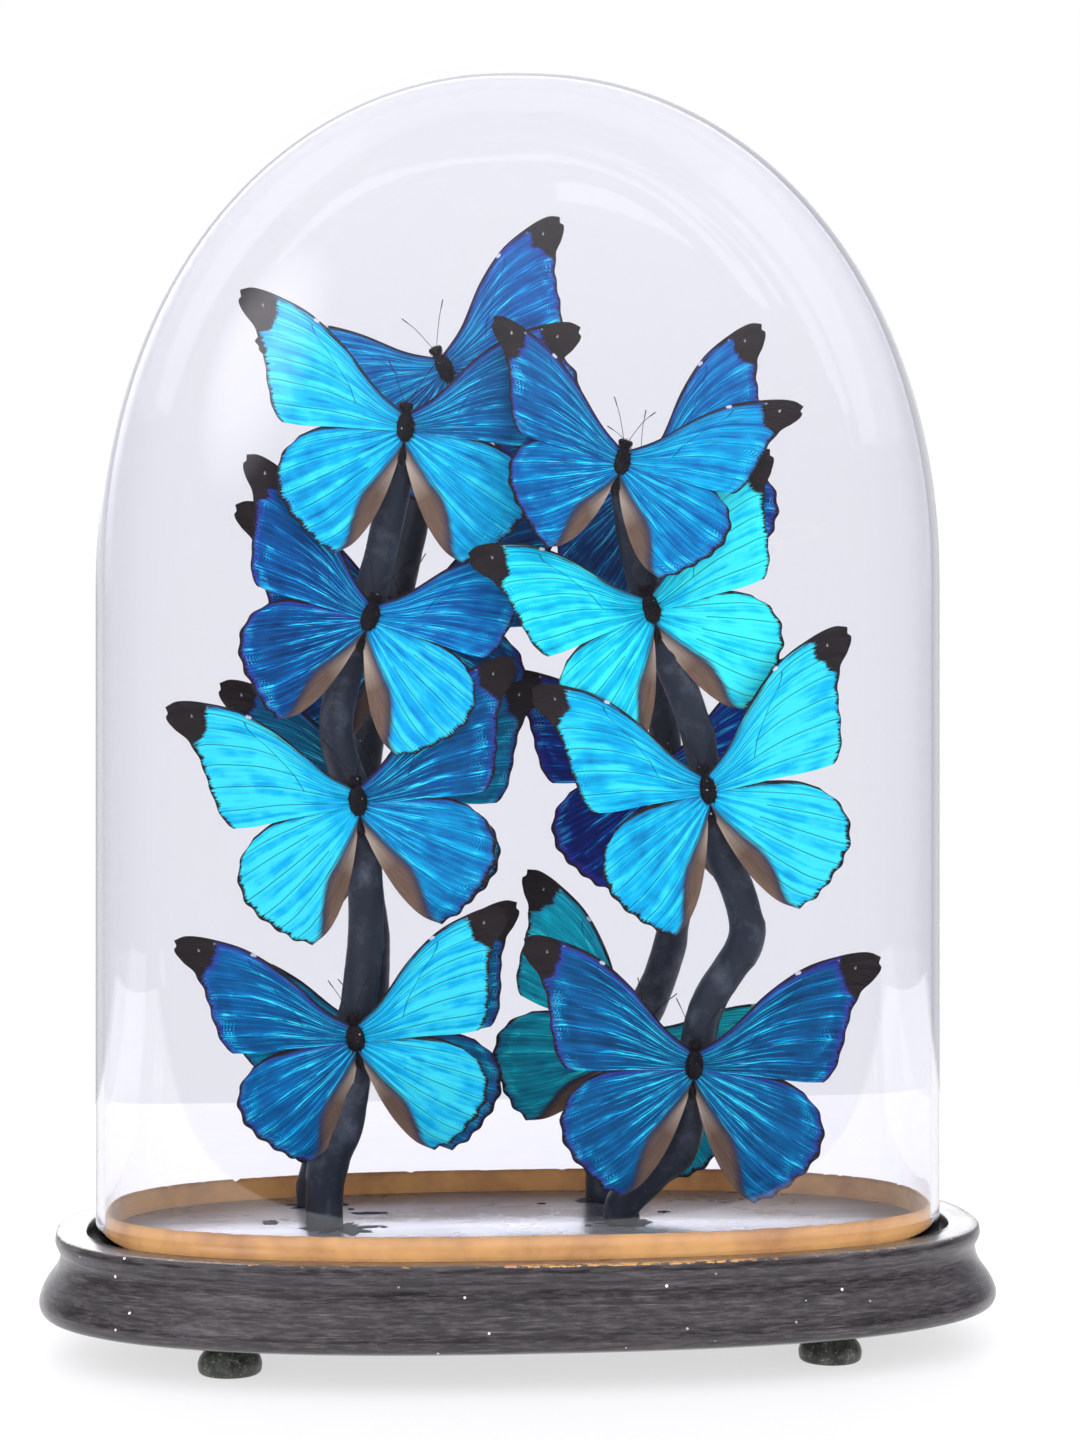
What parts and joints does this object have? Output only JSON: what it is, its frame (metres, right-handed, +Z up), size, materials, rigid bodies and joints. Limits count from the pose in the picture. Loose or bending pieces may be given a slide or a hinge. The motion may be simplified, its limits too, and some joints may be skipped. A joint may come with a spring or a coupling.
{
  "type": "insect in glass dome",
  "caption": "Oval glass dome on a black moulded wooden base with turned feet, holding blue butterflies mounted on black branches.",
  "frame": {"origin": "on the table, below the middle of the oval dome", "axes": "+Z up, +X to the viewer's right along the oval's length, -Y towards the viewer"},
  "size_m": [0.375, 0.207, 0.5],
  "materials": {
    "ebonised_wood": "ebonised wood, satin, worn to ochre at the edges",
    "black_lacquer": "glossy black paint",
    "honey_card": "matt honey-coloured veneer strip",
    "clear_glass": "clear blown glass, polished",
    "painted_branch": "black painted twig, satin",
    "blue_wing": "iridescent blue scales on a thin wing"
  },
  "bodies": {
    "root": {"base_moulding": "ebonised_wood", "foot_front_left": "ebonised_wood", "foot_front_right": "ebonised_wood", "foot_back_left": "ebonised_wood", "foot_back_right": "ebonised_wood", "floor_board": "black_lacquer", "card_band": "honey_card", "glass_dome": "clear_glass", "branch_front_left": "painted_branch", "branch_front_right": "painted_branch", "branch_back_left": "painted_branch", "branch_back_right": "painted_branch", "butterfly_front_left_1": "blue_wing", "butterfly_front_left_2": "blue_wing", "butterfly_front_left_3": "blue_wing", "butterfly_front_left_4": "blue_wing", "butterfly_front_right_1": "blue_wing", "butterfly_front_right_2": "blue_wing", "butterfly_front_right_3": "blue_wing", "butterfly_front_right_4": "blue_wing", "butterfly_back_left_1": "blue_wing", "butterfly_back_left_2": "blue_wing", "butterfly_back_left_3": "blue_wing", "butterfly_back_left_4": "blue_wing", "butterfly_back_right_1": "blue_wing", "butterfly_back_right_2": "blue_wing", "butterfly_back_right_3": "blue_wing"}
  },
  "joints": []
}
